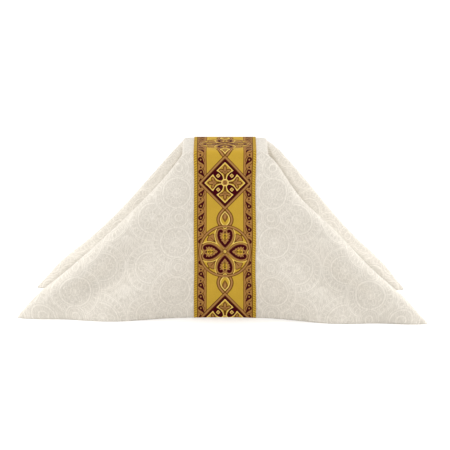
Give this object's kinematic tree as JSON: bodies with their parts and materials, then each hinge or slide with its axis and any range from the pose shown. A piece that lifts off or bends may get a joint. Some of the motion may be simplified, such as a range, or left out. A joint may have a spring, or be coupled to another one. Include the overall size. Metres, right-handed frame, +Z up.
{
  "type": "chalice veil",
  "caption": "Square white brocade veil with a gold orphrey down its middle, draped over a square top with four corners drawn out into folds.",
  "frame": {"origin": "on the table, in the middle of the veil's spread", "axes": "+Z up, +X to the right along the drawn out corners, and the orphrey's front end faces -Y"},
  "size_m": [0.5476, 0.2439, 0.2256],
  "materials": {
    "brocade": "white on white brocade with a soft satin sheen",
    "gold_weave": "gold woven band with tan and maroon figures"
  },
  "bodies": {
    "root": {"veil_cloth": "brocade", "orphrey_band": "gold_weave"}
  },
  "joints": []
}
